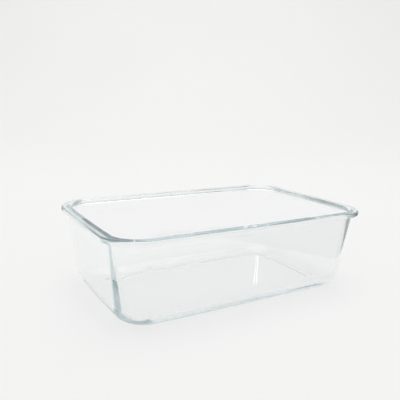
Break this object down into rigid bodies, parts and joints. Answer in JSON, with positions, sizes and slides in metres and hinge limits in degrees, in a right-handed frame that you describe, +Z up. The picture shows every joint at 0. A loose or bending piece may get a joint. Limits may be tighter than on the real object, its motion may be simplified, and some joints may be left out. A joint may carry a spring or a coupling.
{
  "type": "glass food container dish",
  "caption": "Rectangular clear glass lunch dish with rounded corners, gently drafted walls and a thick rim for a snap lid.",
  "frame": {"origin": "centre of the dish's footprint, on the surface that it stands on", "axes": "+X along the long side, +Y across the short side, +Z up out of the open mouth"},
  "size_m": [0.23, 0.147, 0.069],
  "materials": {
    "glass": "fire-polished clear pressed glass with a faint blue-green edge tint"
  },
  "bodies": {
    "root": {"glass_dish": "glass"}
  },
  "joints": []
}
